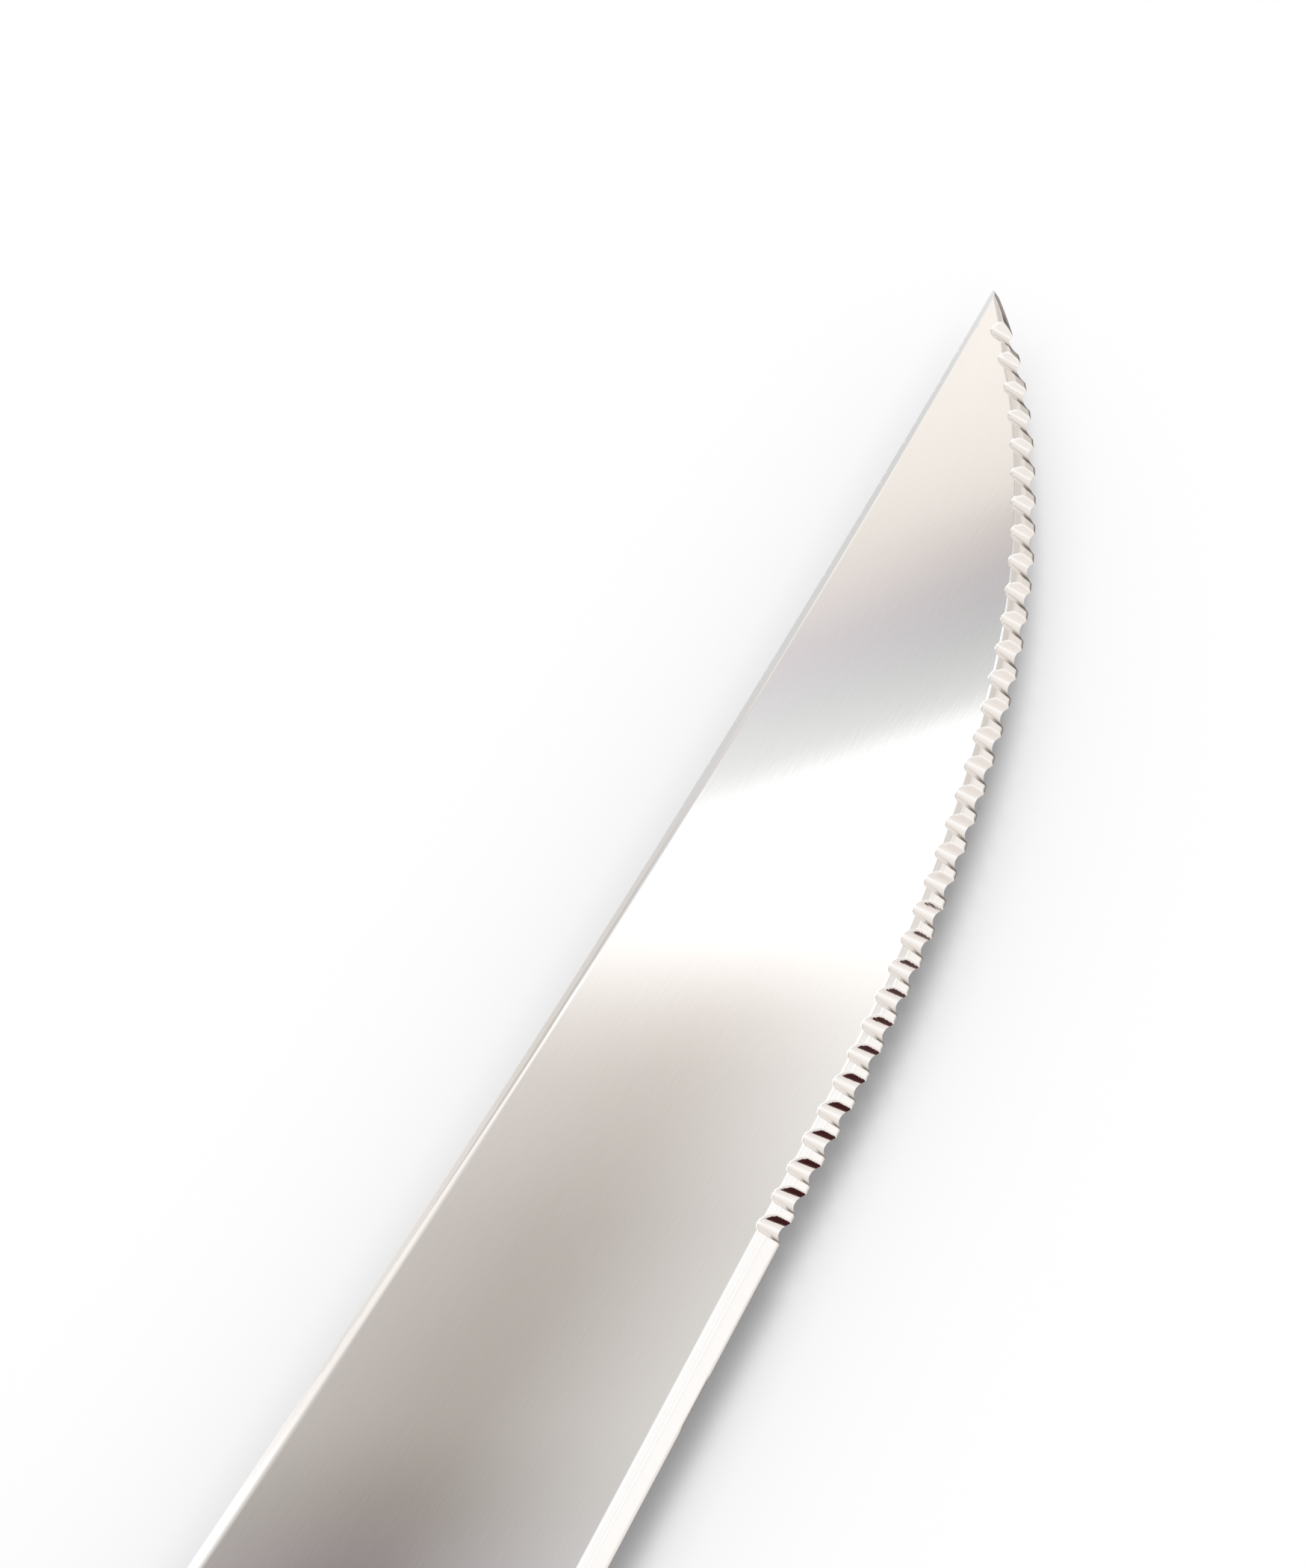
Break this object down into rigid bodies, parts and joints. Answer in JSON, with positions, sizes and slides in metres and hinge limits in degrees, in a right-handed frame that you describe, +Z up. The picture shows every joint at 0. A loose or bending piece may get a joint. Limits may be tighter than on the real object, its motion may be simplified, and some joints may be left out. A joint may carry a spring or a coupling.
{
  "type": "steak knife",
  "caption": "Pointed steak knife with a fluted, single-side ground edge and a full-tang handle of riveted wooden slabs.",
  "frame": {"origin": "on the flat outer face of the lower handle slab, halfway between the front and the middle rivet, close to the point where the knife balances", "axes": "+X along the knife to its tip, +Y to the spine, +Z up, away from the surface that the knife lies on and out of the ground face of the blade"},
  "size_m": [0.226, 0.0241, 0.0144],
  "materials": {
    "blade_steel": "fine satin, polished stainless steel",
    "handle_wood": "dark resin-filled hardwood, satin",
    "rivet_steel": "stainless steel, ground flush"
  },
  "bodies": {
    "root": {"blade": "blade_steel", "scale_lower": "handle_wood", "scale_upper": "handle_wood", "rivet_sleeve_front": "rivet_steel", "rivet_sleeve_middle": "rivet_steel", "rivet_sleeve_rear": "rivet_steel", "rivet_pin_front": "rivet_steel", "rivet_pin_middle": "rivet_steel", "rivet_pin_rear": "rivet_steel"}
  },
  "joints": []
}
